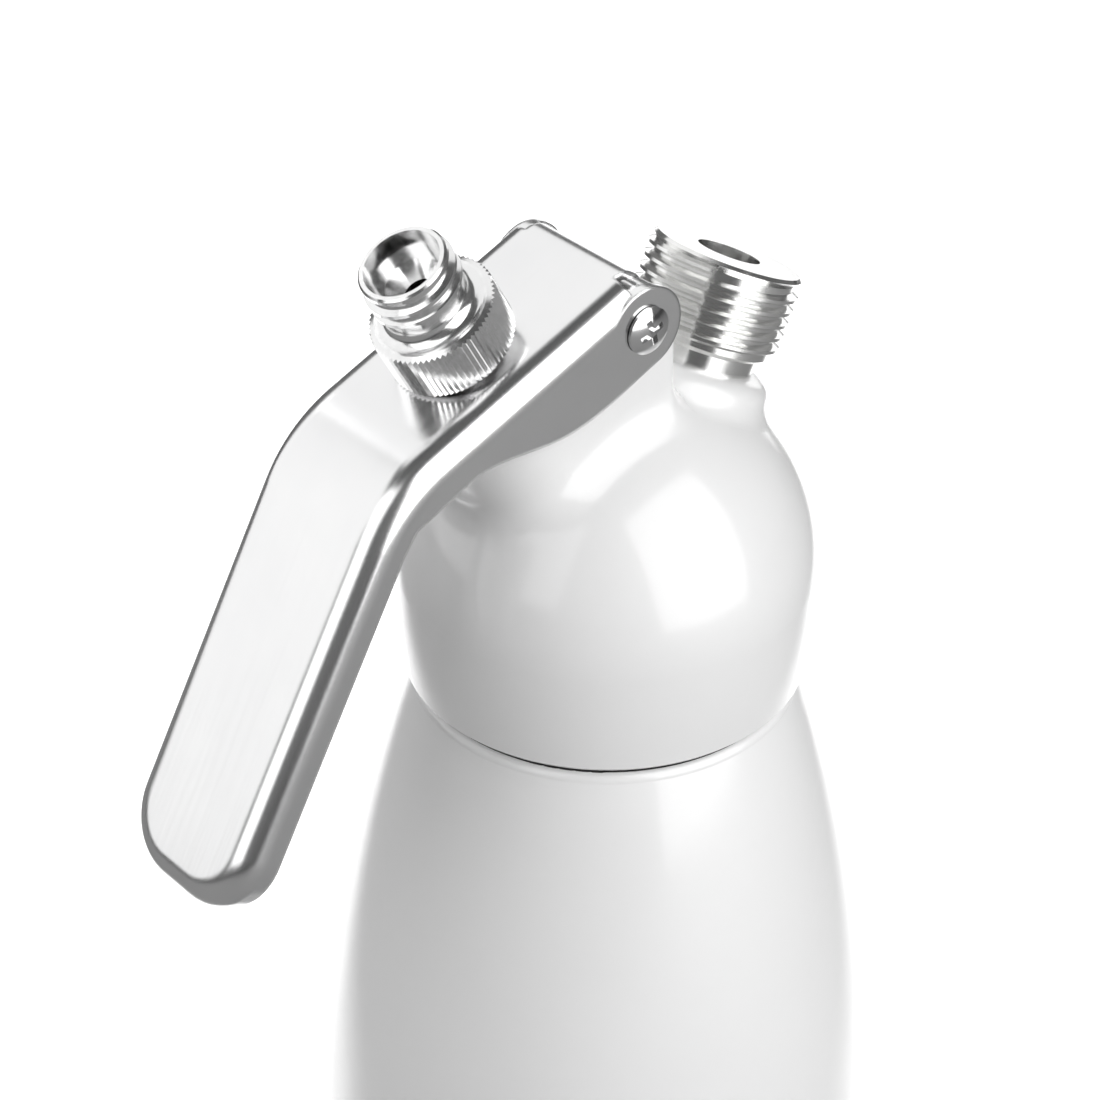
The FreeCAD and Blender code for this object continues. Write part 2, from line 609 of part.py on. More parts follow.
def handle_plan(inset):
    """Prism square to the handle with the rounded tip; it reaches past the plate's rear."""
    half = LEVER_HALF_W - inset
    radius = TIP_R - inset
    end = HANDLE_LENGTH - inset
    back = -4 * HANDLE_LENGTH
    deep = 3 * HANDLE_LENGTH
    start = BEND_CENTRE + HANDLE_OUT * (BEND_R - deep)

    def place(along, across):
        return start + DOWN * along + Y_AXIS * across
    bow = radius * math.sqrt(0.5)
    corner = end - radius
    edges = [
        Part.makeLine(place(back, -half), place(corner, -half)),
        Part.Arc(place(corner, -half), place(corner + bow, -half + radius - bow),
                 place(end, -half + radius)).toShape(),
        Part.makeLine(place(end, -half + radius), place(end, half - radius)),
        Part.Arc(place(end, half - radius), place(corner + bow, half - radius + bow),
                 place(corner, half)).toShape(),
        Part.makeLine(place(corner, half), place(back, half)),
        Part.makeLine(place(back, half), place(back, -half)),
    ]
    return Part.Face(Part.Wire(edges)).extrude(HANDLE_OUT * 2 * deep)


def is_outer_edge(edge, rear, bend_r):
    """True for an edge round the outer surface of the plate, the bend or the handle."""
    middle = edge.valueAt((edge.FirstParameter + edge.LastParameter) / 2)
    spots = [edge.valueAt(edge.FirstParameter), middle, edge.valueAt(edge.LastParameter)]
    centre = BEND_CENTRE
    flat = Vector(middle.x, 0, middle.z)
    on_plate = all(abs((p - rear).dot(PLATE_UP)) < 1e-4 for p in spots)
    on_handle = all(abs((p - centre).dot(HANDLE_OUT) - bend_r) < 1e-4 for p in spots)
    on_bend = all(abs(Vector(p.x - centre.x, 0, p.z - centre.z).Length - bend_r) < 1e-4 for p in spots)
    across = abs(edge.tangentAt(edge.FirstParameter).y) > 0.999
    at_bend_line = across and abs((flat - centre).Length - bend_r) < 1e-3
    return (on_plate or on_handle or on_bend) and not at_bend_line


def side_outline():
    """Outline of the flanges: deep under the plate, a toe at the bend, even along the handle."""
    ear_low = PIVOT - PLATE_UP * EAR_R
    belly = PIVOT + AHEAD * FLANGE_BELLY_AT - PLATE_UP * FLANGE_BELLY
    toe = PIVOT + AHEAD * FLANGE_TOE_AT + PLATE_UP * FLANGE_TOE_RISE
    inner_r = BEND_R - HANDLE_FLANGE
    knee_out = (HANDLE_OUT * 2 + PLATE_UP).normalize()
    reach = FORM_DEPTH
    handle_start = BEND_CENTRE + HANDLE_OUT * inner_r
    handle_end = handle_start + DOWN * (HANDLE_LENGTH + TIP_R)
    lower_edge = Part.BSplineCurve()
    lower_edge.interpolate([ear_low, belly, toe], InitialTangent=AHEAD, FinalTangent=AHEAD)
    over = PIVOT + PLATE_UP * reach
    corners = [toe, BEND_CENTRE + knee_out * inner_r, handle_start, handle_end,
               handle_end + HANDLE_OUT * reach, over + PLATE_UP * reach + AHEAD * 3 * reach,
               over - AHEAD * reach, ear_low - AHEAD * reach, ear_low]
    edges = [lower_edge.toShape()] + [Part.makeLine(a, b) for a, b in zip(corners, corners[1:])]
    return prism(edges, FORM_DEPTH)


def across_rod(radius):
    """Round rod along the pivot's axis, longer than the lever is wide."""
    return Part.makeCylinder(radius, 4 * LEVER_HALF_W, PIVOT - Y_AXIS * 2 * LEVER_HALF_W, Y_AXIS)


def plate_box(back, width, depth, y_start):
    """Box in the plate's own directions: behind the pivot, from y_start across, both ways up and down."""
    box = Part.makeBox(back, width, 2 * depth, Vector(0, y_start, -depth))
    box.rotate(Vector(0, 0, 0), Y_AXIS, -PLATE_TILT)
    return box


def lever():
    """Stamped lever: tray-shaped plate and handle, two ears, a fold at the rear and the stem's slot."""
    deep = 4 * EAR_R
    notch_w = EAR_NOTCH_W + SHEET
    shell = lever_form(0, 0).cut(lever_form(SHEET, FORM_DEPTH)).common(side_outline())
    notch = plate_box(deep, notch_w, deep, EAR_INNER - EAR_NOTCH_W).fuse(
        plate_box(deep, notch_w, deep, -LEVER_HALF_W))
    notch.translate(PIVOT)
    shell = shell.cut(notch.cut(across_rod(EAR_R)))
    fold_trim = plate_box(deep, 2 * EAR_INNER, deep / 2, -EAR_INNER)
    fold_trim.translate(PIVOT + PLATE_UP * (PLATE_OVER_PIVOT - EDGE_R - deep / 2))
    shell = shell.cut(fold_trim)
    shell = shell.fuse(across_rod(EAR_R).common(flange_slabs()))
    return shell.cut(across_rod(SHOULDER_SCREW_R + RUNNING_FIT)).cut(stem_slot()).removeSplitter()


def flange_slabs():
    """Two slabs of sheet thickness at the lever's sides, about the pivot."""
    size = 6 * EAR_R
    corner = PIVOT - Vector(size / 2, 0, size / 2)
    near = Part.makeBox(size, SHEET, size, corner - Y_AXIS * LEVER_HALF_W)
    return near.fuse(Part.makeBox(size, SHEET, size, corner + Y_AXIS * EAR_INNER))


def stem_slot():
    """Round-ended slot through the plate where the stem passes."""
    centre = NOZZLE_RIM - VALVE_UP * (KNURL_BOTTOM + COLLAR_TOP) / 2
    radius = STEM_SLOT_W / 2
    shift = (STEM_SLOT_LENGTH - STEM_SLOT_W) / 2
    tall = 4 * SHEET
    front = tube(radius, 0, -tall, tall)
    front.translate(Vector(-shift, 0, 0))
    rear = tube(radius, 0, -tall, tall)
    rear.translate(Vector(shift, 0, 0))
    bridge = Part.makeBox(2 * shift, STEM_SLOT_W, 2 * tall, Vector(-shift, -radius, -tall))
    return on_axis(bridge.fuse([front, rear]), centre, -PLATE_TILT)


def pivot_sleeve():
    """Steel tube through the saddle; both screws turn into it."""
    rod = tube(SLEEVE_R, SLEEVE_BORE_R, -SADDLE_HALF_W, SADDLE_HALF_W)
    rod.rotate(Vector(0, 0, 0), Vector(1, 0, 0), 90)
    rod.translate(PIVOT)
    return rod


def pivot_screw(side):
    """Shoulder screw with a low domed head and a cross recess; side is -1 near and +1 far."""
    under_head = LEVER_HALF_W + EAR_PLAY
    face = under_head + SCREW_HEAD_H
    rim = under_head + SCREW_RIM_H
    body = lathe([
        (0, SADDLE_HALF_W - SCREW_LENGTH), (SLEEVE_BORE_R, SADDLE_HALF_W - SCREW_LENGTH),
        (SLEEVE_BORE_R, SADDLE_HALF_W), (SHOULDER_SCREW_R, SADDLE_HALF_W), (SHOULDER_SCREW_R, under_head),
        (SCREW_HEAD_R, under_head), (SCREW_HEAD_R, rim),
        (SCREW_CROWN_R, face - SCREW_CROWN_DROP, "arc"), (0, face)])
    recess = None
    for angle in (0, 90):
        blade = Part.makeBox(CROSS_LENGTH, CROSS_W, CROSS_DEPTH + 1,
                             Vector(-CROSS_LENGTH / 2, -CROSS_W / 2, face - CROSS_DEPTH))
        blade.rotate(Vector(0, 0, 0), Z_AXIS, angle + CROSS_ANGLE)
        recess = blade if recess is None else recess.fuse(blade)
    screw = body.cut(recess)
    screw.rotate(Vector(0, 0, 0), Vector(1, 0, 0), -90 * side)
    screw.translate(PIVOT)
    return screw


def charger_port():
    """Turned port: thread for the charger holder, undercut neck, plug in the head, gas passage."""
    body = lathe([
        (0, 0), (PORT_FACE_R, 0), (PORT_FACE_R + PORT_CHAMFER, -PORT_CHAMFER),
        (PORT_ROOT_R, -PORT_THREAD_START - PORT_CHAMFER), (PORT_ROOT_R, -PORT_THREAD_END),
        (PORT_NECK_R, -PORT_THREAD_END - PORT_NECK_CONE), (PORT_NECK_R, -PORT_BOSS_DEPTH),
        (PORT_PLUG_R, -PORT_BOSS_DEPTH), (PORT_PLUG_R, -PORT_PLUG_END), (0, -PORT_PLUG_END)])
    start = -PORT_THREAD_END + PORT_THREAD_RUNOUT
    ridge = thread(PORT_ROOT_R, PORT_THREAD_DEPTH, PORT_PITCH, start, PORT_TURNS,
                   PORT_THREAD_ROOT_W, PORT_THREAD_CREST_W)
    hollow = lathe([
        (0, 1), (PORT_HOLE_R, 1), (PORT_HOLE_R, -PORT_HOLE_DEPTH), (PIN_FLANGE_R, -PORT_HOLE_DEPTH),
        (PIN_FLANGE_R, -PORT_HOLE_DEPTH - PIN_FLANGE_T - PIN_GASKET_T),
        (GAS_BORE_R, -PORT_HOLE_DEPTH - PIN_FLANGE_T - PIN_GASKET_T), (GAS_BORE_R, -BALL_CHAMBER_TOP),
        (BALL_CHAMBER_R, -BALL_CHAMBER_TOP - BALL_CHAMBER_R + GAS_BORE_R),
        (BALL_CHAMBER_R, -PORT_PLUG_END - 1), (0, -PORT_PLUG_END - 1)])
    return on_port(body.fuse(ridge).cut(hollow))


def port_gasket():
    return on_port(tube(PORT_HOLE_R - SCREW_FIT, PORT_GASKET_BORE_R, -PORT_HOLE_DEPTH,
                        -PORT_HOLE_DEPTH + PORT_GASKET_T))


def piercing_pin():
    """Hollow pin that pierces the charger, on a flange in the port's floor."""
    low = -PORT_HOLE_DEPTH - PIN_FLANGE_T
    tip = -PIN_TIP_DEPTH
    body = lathe([
        (0, low), (PIN_FLANGE_R, low), (PIN_FLANGE_R, -PORT_HOLE_DEPTH), (PIN_R, -PORT_HOLE_DEPTH),
        (PIN_R, tip - PIN_TIP_LENGTH), (PIN_BORE_R + PIN_TIP_WALL, tip), (0, tip)])
    return on_port(body.cut(tube(PIN_BORE_R, 0, low - 1, tip + 1)))


def pin_gasket():
    low = -PORT_HOLE_DEPTH - PIN_FLANGE_T - PIN_GASKET_T
    return on_port(tube(PIN_FLANGE_R, GAS_BORE_R, low, low + PIN_GASKET_T))


def ball_centre():
    """Depth of the ball's centre where it rests on the 45 degree seat, less a hair of play."""
    seat_edge = BALL_CHAMBER_TOP - GAS_BORE_R
    return seat_edge + BALL_R * math.sqrt(2) + SCREW_FIT


def check_ball():
    return on_port(Part.makeSphere(BALL_R, Vector(0, 0, -ball_centre())))


def check_retainer():
    return on_port(tube(BALL_CHAMBER_R, CHECK_PLUG_BORE_R, -PORT_PLUG_END, -CHECK_PLUG_TOP))


def check_spring():
    """Small coil between the ball and its retainer."""
    mean_r = BALL_CHAMBER_R - CHECK_SPRING_GAP - CHECK_SPRING_WIRE_R
    reach = BALL_R + CHECK_SPRING_WIRE_R + SCREW_FIT
    touch = math.sqrt(max(reach ** 2 - mean_r ** 2, 0.0))
    high = -ball_centre() - touch
    low = -CHECK_PLUG_TOP + CHECK_SPRING_WIRE_R
    return on_port(coil(mean_r, CHECK_SPRING_WIRE_R, low, high, CHECK_SPRING_TURNS))


def build():
    os.makedirs("parts", exist_ok=True)
    nodes = {
        "bottle": bottle(),
        "head_gasket": head_gasket(),
        "head": head(),
        "lever": lever(),
        "pivot_sleeve": pivot_sleeve(),
        "pivot_screw_near": pivot_screw(-1),
        "pivot_screw_far": pivot_screw(1),
        "nozzle_adapter": nozzle_adapter(),
        "adapter_seal": adapter_seal(),
        "valve_stem": valve_stem(),
        "valve_collar": valve_collar(),
        "return_spring": return_spring(),
        "guide_bush": guide_bush(),
        "stem_o_ring": stem_o_ring(),
        "valve_seal": valve_seal(),
        "seal_retainer": seal_retainer(),
        "charger_port": charger_port(),
        "port_gasket": port_gasket(),
        "piercing_pin": piercing_pin(),
        "pin_gasket": pin_gasket(),
        "check_ball": check_ball(),
        "check_spring": check_spring(),
        "check_retainer": check_retainer(),
    }
    for name, shape in nodes.items():
        box = shape.BoundBox
        print(name, shape.ShapeType, shape.isValid(), len(shape.Solids), round(shape.Volume, 1),
              [round(v, 1) for v in (box.XMin, box.YMin, box.ZMin, box.XMax, box.YMax, box.ZMax)])
        shape.exportStep("parts/" + name + ".step")


build()
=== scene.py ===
# %% [markdown]
# # A whipped cream dispenser, dressed for its picture
# The frame is the finished assembly: every piece is already in its place and rides on its own
# moving body. What is left for this lesson is what the eye sees: the coat, the polish, the light.

# %% Load the assembly
import math

import bpy
from mathutils import Matrix, Vector

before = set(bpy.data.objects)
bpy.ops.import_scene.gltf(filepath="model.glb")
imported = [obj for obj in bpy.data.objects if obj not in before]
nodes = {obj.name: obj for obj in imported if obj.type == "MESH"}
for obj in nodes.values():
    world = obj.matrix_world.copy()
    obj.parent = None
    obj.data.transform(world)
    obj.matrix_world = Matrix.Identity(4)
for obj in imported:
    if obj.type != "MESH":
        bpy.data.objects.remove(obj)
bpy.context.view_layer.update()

# %% [markdown]
# ## The camera
# The picture looks down on the dispenser from its front left, with a long lens from close by. We
# could drag a camera about by hand, but the view was worked out from the head's round outline, so
# we build the camera's three directions as vectors and put them straight into its matrix. The
# centre of the head's dome is the point that everything is measured from, and two small shifts put
# the dome a little off the picture's middle, as the photographer had it.

# %% Camera
DOME_CENTRE = Vector((0.0, 0.0, 0.215))
VIEW_AZIMUTH = math.radians(-41.0)
VIEW_ELEVATION = math.radians(33.79)
VIEW_ROLL = math.radians(0.29)
VIEW_DISTANCE = 0.486
SHIFT_LEFT = 0.00849
SHIFT_UP = 0.00099
SENSOR_WIDTH_MM = 36.0
LENS_MM = 104.73
NEAREST_SEEN = 0.01
FARTHEST_SEEN = 20.0

view_back = Vector((math.sin(VIEW_AZIMUTH) * math.cos(VIEW_ELEVATION),
                    -math.cos(VIEW_AZIMUTH) * math.cos(VIEW_ELEVATION),
                    math.sin(VIEW_ELEVATION)))
level_right = Vector((math.cos(VIEW_AZIMUTH), math.sin(VIEW_AZIMUTH), 0.0))
level_up = view_back.cross(level_right)
view_right = math.cos(VIEW_ROLL) * level_right + math.sin(VIEW_ROLL) * level_up
view_up = math.cos(VIEW_ROLL) * level_up - math.sin(VIEW_ROLL) * level_right

camera_data = bpy.data.cameras.new("picture_camera")
camera_data.sensor_width = SENSOR_WIDTH_MM
camera_data.lens = LENS_MM
camera_data.clip_start = NEAREST_SEEN
camera_data.clip_end = FARTHEST_SEEN
camera = bpy.data.objects.new("picture_camera", camera_data)
bpy.context.scene.collection.objects.link(camera)
camera_place = DOME_CENTRE + view_back * VIEW_DISTANCE - view_right * SHIFT_LEFT + view_up * SHIFT_UP
camera.matrix_world = Matrix((
    (view_right.x, view_up.x, view_back.x, camera_place.x),
    (view_right.y, view_up.y, view_back.y, camera_place.y),
    (view_right.z, view_up.z, view_back.z, camera_place.z),
    (0.0, 0.0, 0.0, 1.0)))
bpy.context.scene.camera = camera
print("camera stands at", [round(v, 3) for v in camera_place])

# %% [markdown]
# ## A small kit for materials
# Every finish below is a Principled shader with a few texture nodes in front of it. These helpers
# keep the recipes short. Textures read the object's own coordinates, which are metres here, so a
# scale of 1000 means one feature per millimetre.

# %% Material helpers
def new_finish(name, **sockets):
    """A material whose shader has its even values set on its own sockets."""
    mat = bpy.data.materials.new(name)
    mat.use_nodes = True
    shader = mat.node_tree.nodes["Principled BSDF"]
    for socket, value in sockets.items():
        shader.inputs[socket.replace("_", " ")].default_value = value
    return mat, mat.node_tree, shader


def object_place(tree, stretch=(1.0, 1.0, 1.0), turn=(0.0, 0.0, 0.0), origin=(0.0, 0.0, 0.0)):
    """Object coordinates, moved to an origin, turned and stretched."""
    place = tree.nodes.new("ShaderNodeTexCoord")
    shift = tree.nodes.new("ShaderNodeMapping")
    shift.inputs["Location"].default_value = tuple(-v for v in origin)
    tree.links.new(place.outputs["Object"], shift.inputs["Vector"])
    mapping = tree.nodes.new("ShaderNodeMapping")
    mapping.inputs["Rotation"].default_value = turn
    mapping.inputs["Scale"].default_value = stretch
    tree.links.new(shift.outputs["Vector"], mapping.inputs["Vector"])
    return mapping.outputs["Vector"]


def split_place(tree, vector):
    """The three parts of a place, as sockets X, Y and Z."""
    split = tree.nodes.new("ShaderNodeSeparateXYZ")
    tree.links.new(vector, split.inputs["Vector"])
    return [split.outputs[axis] for axis in "XYZ"]


def noise(tree, vector, scale, detail=3.0, rough=0.5):
    """Cloudy noise with so many features to the metre."""
    node = tree.nodes.new("ShaderNodeTexNoise")
    node.inputs["Scale"].default_value = scale
    node.inputs["Detail"].default_value = detail
    node.inputs["Roughness"].default_value = rough
    tree.links.new(vector, node.inputs["Vector"])
    return node.outputs["Fac"]


def opaque(value):
    """A colour with its alpha, from a colour or from one grey value."""
    return (*value, 1.0) if isinstance(value, tuple) else (value, value, value, 1.0)


def ramp(tree, factor, low, high, start=0.3, end=0.7):
    """Maps a texture's value between start and end to two colours or grey values."""
    node = tree.nodes.new("ShaderNodeValToRGB")
    first, last = node.color_ramp.elements
    first.position, last.position = start, end
    first.color, last.color = opaque(low), opaque(high)
    tree.links.new(factor, node.inputs["Fac"])
    return node.outputs["Color"]


def blend(tree, factor, first, second):
    """Goes from the first colour to the second; each is a socket or a colour."""
    node = tree.nodes.new("ShaderNodeMix")
    node.data_type = "RGBA"
    tree.links.new(factor, node.inputs["Factor"])
    for name, value in (("A", first), ("B", second)):
        if isinstance(value, tuple):
            node.inputs[name].default_value = opaque(value)
        else:
            tree.links.new(value, node.inputs[name])
    return node.outputs["Result"]


def reckon(tree, operation, first, second=0.0):
    """A sum or a test on two operands; each is a socket or a number."""
    node = tree.nodes.new("ShaderNodeMath")
    node.operation = operation
    for socket, value in zip(node.inputs, (first, second)):
        if isinstance(value, (int, float)):
            socket.default_value = value
        else:
            tree.links.new(value, socket)
    return node.outputs["Value"]


def bump(tree, shader, height, depth, after=None):
    """Lays a texture's height on the shader, depth in metres."""
    node = tree.nodes.new("ShaderNodeBump")
    node.inputs["Strength"].default_value = 1.0
    node.inputs["Distance"].default_value = depth
    tree.links.new(height, node.inputs["Height"])
    if after is not None:
        tree.links.new(after, node.inputs["Normal"])
    tree.links.new(node.outputs["Normal"], shader.inputs["Normal"])
    return node.outputs["Normal"]


def dress(material, *names):
    """Puts one finish on the named pieces."""
    for name in names:
        slots = nodes[name].data.materials
        if len(slots) == 0:
            slots.append(material)
        for index in range(len(slots)):
            slots[index] = material
    print(material.name, "on", ", ".join(names))


# %% [markdown]
# ## White coat
# The bottle and the head are aluminium with a baked white coat. It is a soft white body under a
# clear, shiny skin, so the Principled shader's base is nearly matt and its coat layer gives the
# sharp, weak reflections. Baked coats have orange peel: low waves about two millimetres wide. We
# add it as a very shallow bump, and let the white itself vary by a hair.

# %% White coat
BOTTLE_WHITE = (0.93, 0.93, 0.93)
HEAD_WHITE = (0.92, 0.92, 0.92)
CLOUDS_PER_METRE = 35.0
CLOUD_SHADE = 0.98
PEEL_PER_METRE = 420.0
BOTTLE_PEEL_DEPTH = 0.00002
HEAD_PEEL_DEPTH = 0.000015
GRAIN_PER_METRE = 3000.0


def white_coat(name, tone, peel):
    """Baked white coat; also returns its tree, shader and colour, for the bottle's neck and its painted
    shade.
    """
    mat, tree, shader = new_finish(name, IOR=1.45, Coat_Weight=1.0, Coat_Roughness=0.14, Coat_IOR=1.55)
    place = object_place(tree)
    cloud = noise(tree, place, CLOUDS_PER_METRE, 4.0)
    white = ramp(tree, cloud, tuple(v * CLOUD_SHADE for v in tone), tone)
    tree.links.new(white, shader.inputs["Base Color"])
    waves = noise(tree, place, PEEL_PER_METRE, 2.0)
    tree.links.new(bump(tree, shader, waves, peel), shader.inputs["Coat Normal"])
    grain = noise(tree, place, GRAIN_PER_METRE, 1.0)
    tree.links.new(ramp(tree, grain, 0.38, 0.46), shader.inputs["Roughness"])
    return mat, tree, shader, white


bottle_coat, bottle_tree, bottle_shader, bottle_white = white_coat("bottle_coat", BOTTLE_WHITE,
                                                                   BOTTLE_PEEL_DEPTH)
head_coat = white_coat("head_coat", HEAD_WHITE, HEAD_PEEL_DEPTH)[0]
dress(bottle_coat, "bottle")
dress(head_coat, "head")

# %% [markdown]
# The bottle's coat stops at the step under the head. Above it the thread and the ledge are bare
# aluminium, but their colour is painted near black, far darker than the metal's own grey. This is painted
# shade for the shadowed gap, and it makes the thin dark line under the head's rim. We could cut the bottle's
# mesh and give the neck a second material, but the bottle's own height and its distance from the
# axis already say where the bare metal begins, so one finish blends from coat to shaded metal there.

# %% Bare neck with painted shade
NECK_STEP = 0.1959
NECK_EDGE_R = 0.0290
STAINS_PER_METRE = 500.0
# Painted shade: near-black colours for the shadowed gap under the head's rim.
NECK_SHADE_DARK = (0.07, 0.07, 0.072)
NECK_SHADE_LIGHT = (0.12, 0.12, 0.12)


def shaded_bare_neck(tree, shader, white):
    """Painted shade on uncoated metal above the step and inside the edge, the coat elsewhere."""
    x, y, z = split_place(tree, object_place(tree))
    square = reckon(tree, "ADD", reckon(tree, "MULTIPLY", x, x), reckon(tree, "MULTIPLY", y, y))
    slim = reckon(tree, "LESS_THAN", square, NECK_EDGE_R ** 2)
    high = reckon(tree, "GREATER_THAN", z, NECK_STEP)
    shaded_bare = reckon(tree, "MULTIPLY", slim, high)
    stains = noise(tree, object_place(tree), STAINS_PER_METRE, 4.0)
    # Painted shade: the neck's metal is coloured near black where the gap under the head's rim is in shadow.
    neck_shade = ramp(tree, stains, NECK_SHADE_DARK, NECK_SHADE_LIGHT)
    tree.links.new(blend(tree, shaded_bare, white, neck_shade), shader.inputs["Base Color"])
    tree.links.new(shaded_bare, shader.inputs["Metallic"])


shaded_bare_neck(bottle_tree, bottle_shader, bottle_white)
print("bare metal above", NECK_STEP, "m, within", NECK_EDGE_R, "m of the axis")

# %% [markdown]
# ## Polished sheet
# The lever is stamped from stainless sheet and polished along its length. Polishing leaves fine
# lines one way only, so the noise is squeezed across the lever and stretched along it. The lines
# change the roughness a little and lift the surface by about two millionths of a metre.
#
# The polishing wheel also rounds every cut edge. We could bevel the mesh, but the edges run round
# many small cut-outs where a bevel tears. The shader's own bevel looks about itself and bends the
# light over the edge as if it were worn, and leaves the frame's mesh as it is.

# %% Polished sheet
WORN_EDGE = 0.0007
WORN_EDGE_RAYS = 6
LINE_STRETCH = (40.0, 2200.0, 40.0)
LINE_DEPTH = 0.0000018
SHEET_CLOUDS_PER_METRE = 60.0
SHEET_DARK = (0.86, 0.86, 0.865)
SHEET_LIGHT = (0.90, 0.90, 0.90)


def polished_sheet():
    """Steel sheet with polishing lines and worn edges."""
    mat, tree, shader = new_finish("polished_sheet", Metallic=1.0, IOR=2.5)
    lines = noise(tree, object_place(tree, LINE_STRETCH), 1.0, 4.0, 0.6)
    clouds = noise(tree, object_place(tree), SHEET_CLOUDS_PER_METRE)
    tree.links.new(ramp(tree, clouds, SHEET_DARK, SHEET_LIGHT), shader.inputs["Base Color"])
    tree.links.new(ramp(tree, lines, 0.17, 0.23), shader.inputs["Roughness"])
    worn = tree.nodes.new("ShaderNodeBevel")
    worn.samples = WORN_EDGE_RAYS
    worn.inputs["Radius"].default_value = WORN_EDGE
    bump(tree, shader, lines, LINE_DEPTH, after=worn.outputs["Normal"])
    return mat


dress(polished_sheet(), "lever")

# %% [markdown]
# ## Chrome and turned metal
# The nozzle adapter is turned and then plated, so it mirrors its surroundings with a little blur.
# The charger port is turned on a lathe and left bright: the cutter leaves fine rings about its
# axis, a tenth of a millimetre apart. We could model the rings, but they are far too fine for a
# mesh. A wave texture, turned to lie along each piece's tilted axis, draws them.

# %% Cutter rings
VALVE_TILT = math.radians(-29.3)
PORT_TILT = math.radians(25.9)
NOZZLE_RIM = (-0.038, 0.0, 0.27906)
PORT_TOP = (0.02363, 0.0, 0.25913)
PIVOT = (-0.005, 0.0, 0.2623)
WAVES_AT_SCALE_ONE = 3.18
RING_WOBBLE = 0.6
RING_DETAIL = 3.0


def rings_along(tree, origin, tilt, spacing):
    """Cutter rings about an axis in the mirror plane that leans from upright by the tilt."""
    wave = tree.nodes.new("ShaderNodeTexWave")
    wave.bands_direction = "Z"
    wave.inputs["Scale"].default_value = 1.0 / spacing / WAVES_AT_SCALE_ONE
    wave.inputs["Distortion"].default_value = RING_WOBBLE
    wave.inputs["Detail"].default_value = RING_DETAIL
    wave.inputs["Detail Scale"].default_value = RING_DETAIL
    tree.links.new(object_place(tree, turn=(0.0, -tilt, 0.0), origin=origin), wave.inputs["Vector"])
    return wave.outputs["Fac"]


print("valve leans", round(math.degrees(VALVE_TILT), 1), "port leans", round(math.degrees(PORT_TILT), 1))

# %% [markdown]
# Both finishes are pure metal, so the base colour is the colour of the mirror image. Plate has tiny
# spots where the bath left it thinner, and its rings are half filled. Bare turned metal has deeper
# rings, which also make it brighter and duller by turns.

# %% Chrome, plate, steel and brass
PLATE_SPOTS_PER_METRE = 900.0
PLATE_RING_SPACING = 0.00018
PLATE_RING_DEPTH = 0.0000012
METAL_CLOUDS_PER_METRE = 400.0
LATHE_FEED = 0.0001
FINE_LATHE_FEED = 0.00006
LATHE_DEPTH = 0.000003
CHROME = (0.88, 0.88, 0.88)
BRIGHT_METAL = (0.90, 0.90, 0.89)
SCREW_METAL = (0.80, 0.80, 0.80)
STEEL = (0.72, 0.72, 0.72)
PIN_STEEL = (0.70, 0.70, 0.70)
BRASS = (0.78, 0.61, 0.30)


def plated(name, tone, rough, tilt, origin):
    """Plated metal with faint rings about a tilted axis."""
    mat, tree, shader = new_finish(name, Metallic=1.0, IOR=2.5)
    spots = noise(tree, object_place(tree), PLATE_SPOTS_PER_METRE, 4.0)
    tree.links.new(ramp(tree, spots, tuple(v * 0.95 for v in tone), tone), shader.inputs["Base Color"])
    tree.links.new(ramp(tree, spots, rough * 0.7, rough * 1.3), shader.inputs["Roughness"])
    bump(tree, shader, rings_along(tree, origin, tilt, PLATE_RING_SPACING), PLATE_RING_DEPTH)
    return mat


def turned(name, tone, rough, tilt, origin, feed=LATHE_FEED):
    """Bare metal off the lathe, with a ring for each turn of the feed."""
    mat, tree, shader = new_finish(name, Metallic=1.0, IOR=2.5)
    cut = rings_along(tree, origin, tilt, feed)
    cloud = noise(tree, object_place(tree), METAL_CLOUDS_PER_METRE)
    tree.links.new(ramp(tree, cloud, tuple(v * 0.93 for v in tone), tone), shader.inputs["Base Color"])
    tree.links.new(ramp(tree, cut, rough * 0.8, rough * 1.25), shader.inputs["Roughness"])
    bump(tree, shader, cut, LATHE_DEPTH)
    return mat


dress(plated("adapter_chrome", CHROME, 0.17, VALVE_TILT, NOZZLE_RIM), "nozzle_adapter")
dress(turned("port_metal", BRIGHT_METAL, 0.14, PORT_TILT, PORT_TOP), "charger_port")
dress(plated("screw_plate", SCREW_METAL, 0.12, 0.0, PIVOT), "pivot_screw_near", "pivot_screw_far")
dress(turned("stem_steel", STEEL, 0.22, VALVE_TILT, NOZZLE_RIM), "valve_stem", "valve_collar", "pivot_sleeve")
dress(turned("pin_steel", PIN_STEEL, 0.2, PORT_TILT, PORT_TOP, FINE_LATHE_FEED), "piercing_pin", "check_ball")
dress(turned("valve_brass", BRASS, 0.24, VALVE_TILT, NOZZLE_RIM), "seal_retainer")
dress(turned("port_brass", BRASS, 0.24, PORT_TILT, PORT_TOP), "check_retainer")

# %% [markdown]
# ## Springs and seals
# Drawn wire has long scratches along it and a duller shine. Seals are moulded rubber: dark, dull,
# with a faint bloom of lighter dust. Hardly anyone sees them before the dispenser is taken apart,
# but they are there when it is, so they get a finish of their own and not a flat black.

# %% Wire and rubber
WIRE_STRETCH = (1.0, 1.0, 6.0)
SCRATCHES_PER_METRE = 1500.0
SCRATCH_DEPTH = 0.000004
WIRE_DARK = (0.50, 0.50, 0.51)
WIRE_LIGHT = (0.66, 0.66, 0.66)
BLOOM_PER_METRE = 700.0
SOFT_DEPTH = 0.00001
RUBBER_DARK = (0.018, 0.018, 0.018)
RUBBER_DUSTY = (0.040, 0.040, 0.041)


